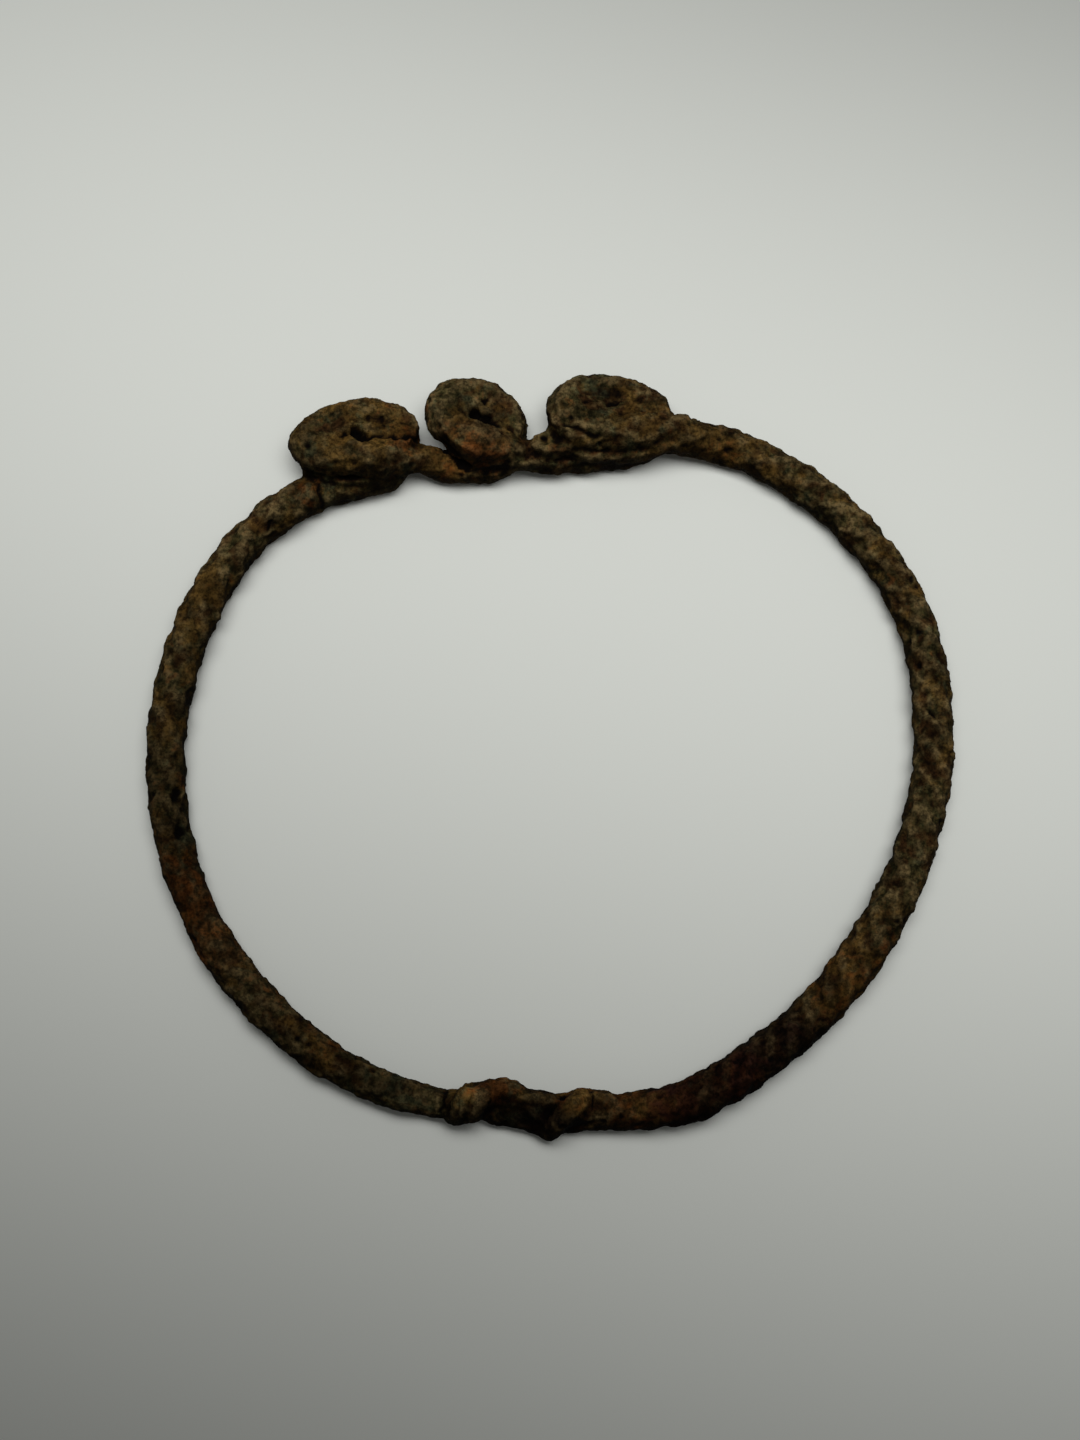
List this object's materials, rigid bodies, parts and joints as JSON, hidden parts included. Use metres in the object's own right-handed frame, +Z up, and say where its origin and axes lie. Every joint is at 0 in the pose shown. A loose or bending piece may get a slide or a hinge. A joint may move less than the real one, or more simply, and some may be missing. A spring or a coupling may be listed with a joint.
{
  "type": "iron bracelet",
  "caption": "Ancient forged iron bracelet: a twisted rod bent to a hoop, curled into loops at one side and closed by wrapping its ends round each other; lies flat.",
  "frame": {"origin": "centre of the footprint, on the plane that the underside lies on", "axes": "+Z up through the hoop, +Y towards the three loops, -Y towards the wrapped closure, +X to the right as seen from above with the loops at the back"},
  "size_m": [0.077, 0.0734, 0.0063],
  "materials": {
    "rusted_iron": "matt, granular rust crust, mottled dark brown, olive and orange"
  },
  "bodies": {
    "root": {"bracelet": "rusted_iron"}
  },
  "joints": []
}
